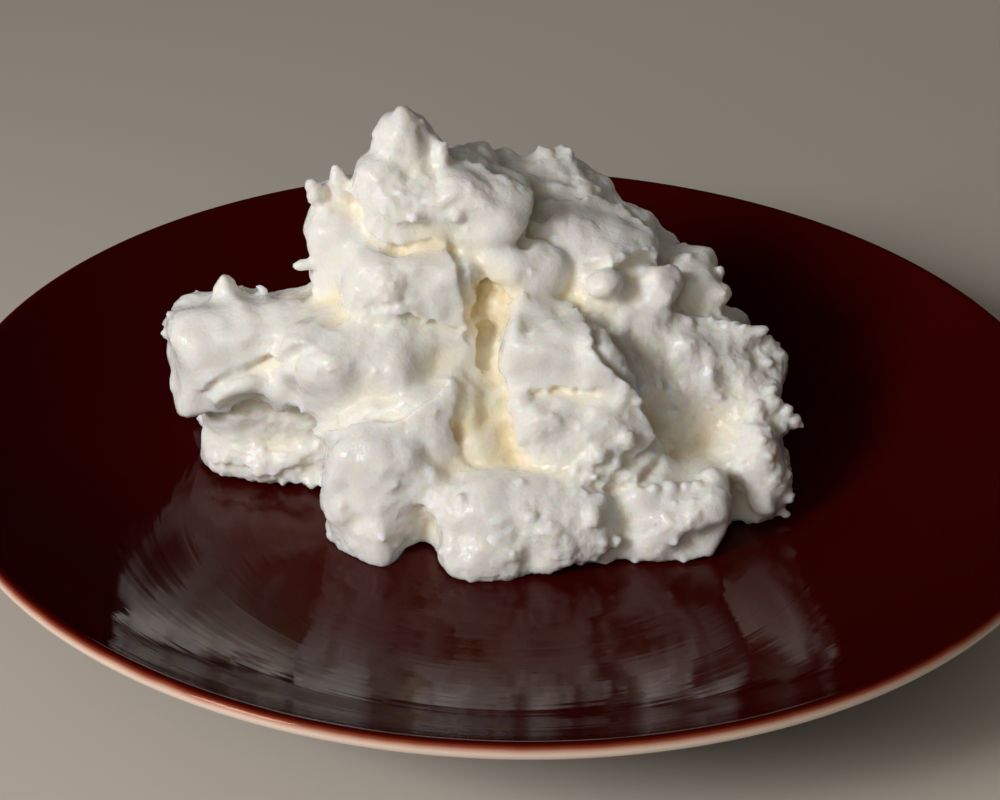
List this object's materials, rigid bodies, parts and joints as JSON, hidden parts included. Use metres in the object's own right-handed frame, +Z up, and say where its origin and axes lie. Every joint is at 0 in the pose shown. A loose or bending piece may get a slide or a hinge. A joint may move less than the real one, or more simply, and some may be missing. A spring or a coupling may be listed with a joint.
{
  "type": "plate of quark",
  "caption": "Spooned heap of fresh quark on a shallow glazed coupe plate with a pale lip; holds and serves the quark.",
  "frame": {"origin": "on the plate's axis, at the level that its foot ring stands on", "axes": "+Z up, along the plate's axis; -Y towards the viewer of the reference picture, +X to their right"},
  "size_m": [0.197, 0.197, 0.0788],
  "materials": {
    "glaze": "high-gloss oxblood glaze that thins to a pale lip",
    "quark": "moist, soft white fresh cheese"
  },
  "bodies": {
    "root": {"plate": "glaze", "quark": "quark"}
  },
  "joints": []
}
